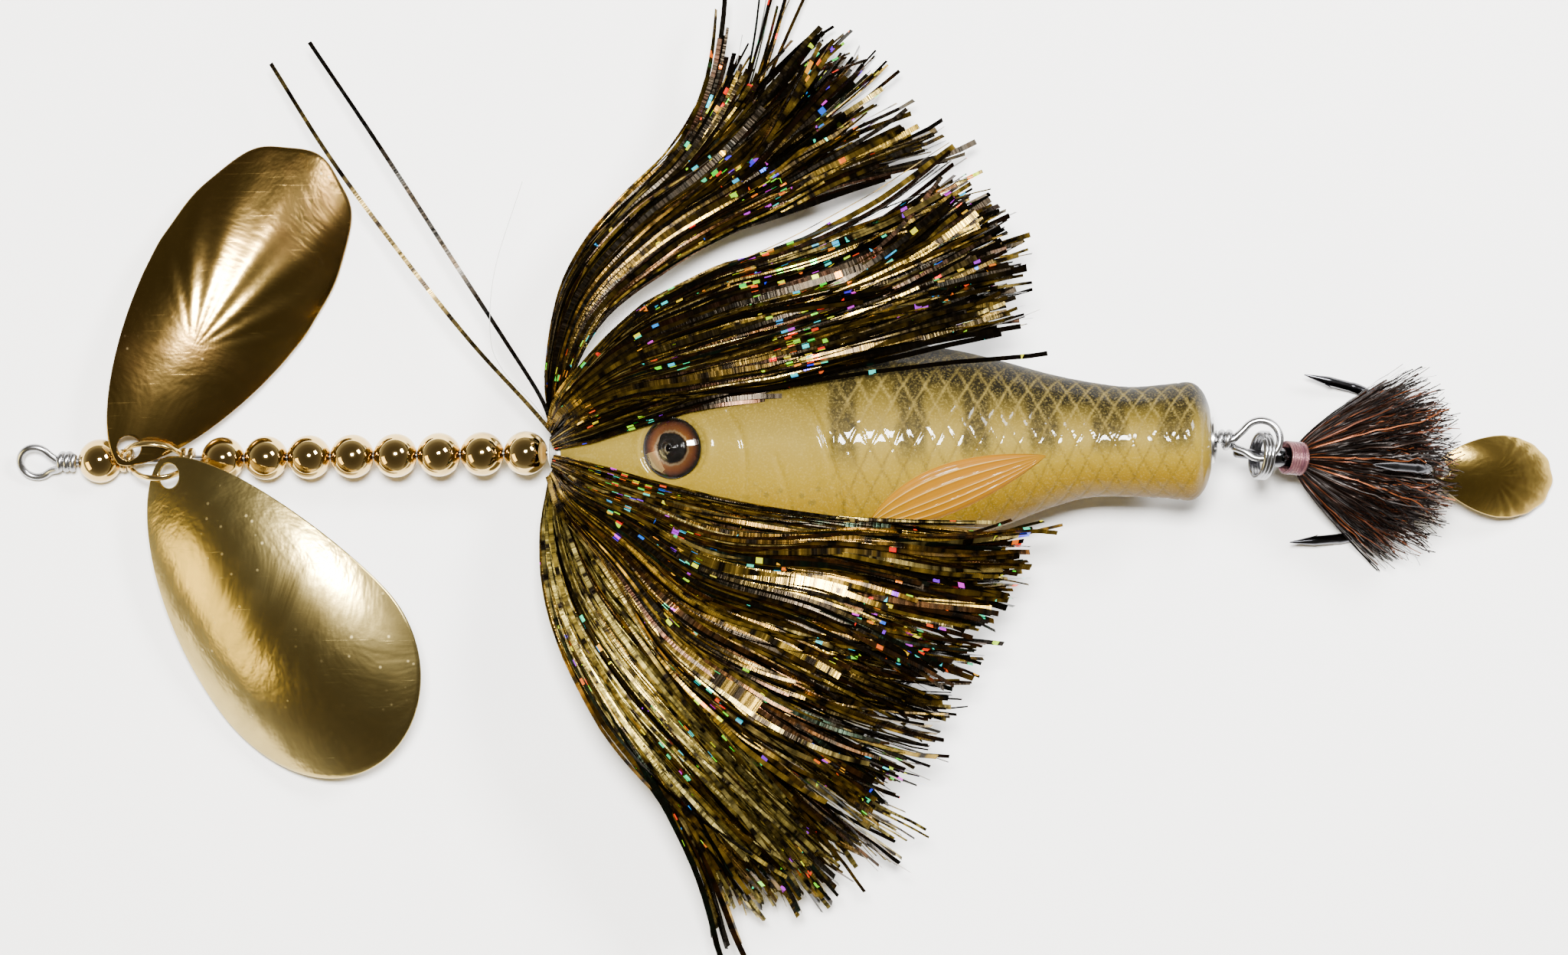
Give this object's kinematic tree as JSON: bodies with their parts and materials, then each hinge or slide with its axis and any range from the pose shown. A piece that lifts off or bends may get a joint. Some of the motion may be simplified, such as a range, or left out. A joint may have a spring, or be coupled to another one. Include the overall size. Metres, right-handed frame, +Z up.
{
  "type": "inline spinner fishing lure",
  "caption": "Inline spinner lure: a wire shaft carries two cupped blades on clevises, a row of balls, a flash skirt and a fish-shaped body with a treble hook below and a dressed one behind.",
  "frame": {"origin": "centre of the line-tie eye at the front end of the shaft wire", "axes": "+X to the tail, level with the table the lure lies on; +Y to the fish's back; +Z up from the table, towards the flank that faces up. The shaft wire itself rises from the table towards the tail by the angle called tilt."},
  "size_m": [0.2826, 0.1654, 0.0363],
  "materials": {
    "steel_wire": "drawn spring wire, plain grey steel with a soft shine",
    "gold_ball": "polished gold plate",
    "clevis": "plain brass strip",
    "fluted_blade": "polished antique gold plate with fine scratches",
    "plain_blade": "polished antique gold plate with fine scratches",
    "collar": "clear white plastic",
    "skirt_thread": "silver tying thread",
    "flash_dark": "black, brown and olive metallic film strands with a rainbow sparkle",
    "flash_gold": "gold, orange and straw metallic film strands with a rainbow sparkle",
    "body_paint": "pearl gold flanks, dark olive back and yellow belly under clear gloss",
    "eye": "copper brown iris with a black pupil under a clear dome",
    "fin_paint": "orange with silver rays under clear gloss",
    "tube": "clear tube",
    "bush": "hard white plastic",
    "lead": "dull grey casting",
    "split_ring": "plated spring wire",
    "treble": "polished black nickel",
    "washer": "nickel",
    "treble_thread": "varnished purple brown thread",
    "dressing": "black and copper fibres",
    "tail_blade": "polished gold plate"
  },
  "bodies": {
    "shaft": {"tie_eye": "steel_wire", "shaft_wire": "steel_wire", "tail_eye": "steel_wire"},
    "front_ball": {"front_ball": "gold_ball"},
    "ball_1": {"ball_1": "gold_ball"},
    "ball_2": {"ball_2": "gold_ball"},
    "ball_3": {"ball_3": "gold_ball"},
    "ball_4": {"ball_4": "gold_ball"},
    "ball_5": {"ball_5": "gold_ball"},
    "ball_6": {"ball_6": "gold_ball"},
    "ball_7": {"ball_7": "gold_ball"},
    "ball_8": {"ball_8": "gold_ball"},
    "clevis_front": {"clevis_front": "clevis"},
    "blade_fluted": {"blade_fluted": "fluted_blade"},
    "clevis_rear": {"clevis_rear": "clevis"},
    "blade_plain": {"blade_plain": "plain_blade"},
    "body": {"body_left": "body_paint", "body_right": "body_paint", "eye_left": "eye", "eye_right": "eye", "fin_left": "fin_paint", "fin_right": "fin_paint", "bore_tube": "tube", "nose_bush": "bush", "tail_bush": "bush", "keel_weight": "lead", "belly_hanger": "steel_wire", "skirt_collar": "collar", "skirt_thread": "skirt_thread", "skirt_upper_front": "flash_dark", "skirt_upper_rear": "flash_dark", "skirt_lower_front": "flash_gold", "skirt_lower_rear": "flash_gold"},
    "rear_washer": {"rear_washer": "washer"},
    "belly_ring": {"belly_ring": "split_ring"},
    "belly_treble": {"belly_treble": "treble"},
    "rear_ring": {"rear_ring": "split_ring"},
    "rear_treble": {"rear_treble": "treble", "treble_thread": "treble_thread", "treble_dressing": "dressing"},
    "tail_link": {"tail_link": "steel_wire"},
    "tail_blade": {"tail_blade": "tail_blade"}
  },
  "joints": [
    {"name": "front_ball_spin", "type": "hinge", "parent": "shaft", "child": "front_ball", "pos_m": [0.012, 0, 0.00111], "axis": [0.9957, 0, 0.0924], "continuous": true},
    {"name": "ball_1_spin", "type": "hinge", "parent": "shaft", "child": "ball_1", "pos_m": [0.03485, 0, 0.00323], "axis": [0.9957, 0, 0.0924], "continuous": true},
    {"name": "ball_2_spin", "type": "hinge", "parent": "shaft", "child": "ball_2", "pos_m": [0.04282, 0, 0.00397], "axis": [0.9957, 0, 0.0924], "continuous": true},
    {"name": "ball_3_spin", "type": "hinge", "parent": "shaft", "child": "ball_3", "pos_m": [0.05078, 0, 0.00471], "axis": [0.9957, 0, 0.0924], "continuous": true},
    {"name": "ball_4_spin", "type": "hinge", "parent": "shaft", "child": "ball_4", "pos_m": [0.05875, 0, 0.00545], "axis": [0.9957, 0, 0.0924], "continuous": true},
    {"name": "ball_5_spin", "type": "hinge", "parent": "shaft", "child": "ball_5", "pos_m": [0.06671, 0, 0.00619], "axis": [0.9957, 0, 0.0924], "continuous": true},
    {"name": "ball_6_spin", "type": "hinge", "parent": "shaft", "child": "ball_6", "pos_m": [0.07468, 0, 0.00693], "axis": [0.9957, 0, 0.0924], "continuous": true},
    {"name": "ball_7_spin", "type": "hinge", "parent": "shaft", "child": "ball_7", "pos_m": [0.08265, 0, 0.00767], "axis": [0.9957, 0, 0.0924], "continuous": true},
    {"name": "ball_8_spin", "type": "hinge", "parent": "shaft", "child": "ball_8", "pos_m": [0.09061, 0, 0.00841], "axis": [0.9957, 0, 0.0924], "continuous": true},
    {"name": "clevis_front_spin", "type": "hinge", "parent": "shaft", "child": "clevis_front", "pos_m": [0.02201, 0, 0.00204], "axis": [0.9957, 0, 0.0924], "continuous": true},
    {"name": "fluted_blade_swing", "type": "hinge", "parent": "clevis_front", "child": "blade_fluted", "pos_m": [0.01793, 0.00227, 0.00532], "axis": [-0.6976, -0.3491, -0.6257], "range_deg": [-12, 1]},
    {"name": "clevis_rear_swing", "type": "hinge", "parent": "clevis_front", "child": "clevis_rear", "pos_m": [0.0234, 0, 0.00217], "axis": [0.9957, 0, 0.0924], "range_deg": [-1, 110]},
    {"name": "plain_blade_swing", "type": "hinge", "parent": "clevis_rear", "child": "blade_plain", "pos_m": [0.02532, -0.00306, 0.00658], "axis": [-0.94, -0.2391, 0.2433], "range_deg": [-30, 20]},
    {"name": "body_spin", "type": "hinge", "parent": "shaft", "child": "body", "pos_m": [0.14936, 0, 0.01386], "axis": [0.9957, 0, 0.0924], "continuous": true},
    {"name": "rear_washer_spin", "type": "hinge", "parent": "shaft", "child": "rear_washer", "pos_m": [0.21488, 0, 0.01993], "axis": [0.9957, 0, 0.0924], "continuous": true},
    {"name": "belly_ring_swing", "type": "hinge", "parent": "body", "child": "belly_ring", "pos_m": [0.13343, -0.0287, 0.01238], "axis": [-0.0924, 0, 0.9957], "range_deg": [-30, 20]},
    {"name": "belly_treble_swing", "type": "hinge", "parent": "belly_ring", "child": "belly_treble", "pos_m": [0.13145, -0.03043, 0.00761], "axis": [0.5711, 0.8192, 0.053], "range_deg": [-5, 60]},
    {"name": "rear_ring_swing", "type": "hinge", "parent": "shaft", "child": "rear_ring", "pos_m": [0.22304, 0, 0.02069], "axis": [-0.0924, 0, 0.9957], "range_deg": [-40, 40]},
    {"name": "rear_treble_swing", "type": "hinge", "parent": "rear_ring", "child": "rear_treble", "pos_m": [0.2222, -0.00268, 0.01603], "axis": [0.1041, 0.9945, 0.0097], "range_deg": [-29, 50]},
    {"name": "tail_link_swing", "type": "hinge", "parent": "rear_treble", "child": "tail_link", "pos_m": [0.25348, -0.00591, 0.01149], "axis": [0.4009, -0.0508, 0.9147], "range_deg": [-25, 25]},
    {"name": "tail_blade_swing", "type": "hinge", "parent": "tail_link", "child": "tail_blade", "pos_m": [0.25712, -0.00628, 0.00987], "axis": [0.1041, 0.9945, 0.0097], "range_deg": [-10, 45]}
  ]
}
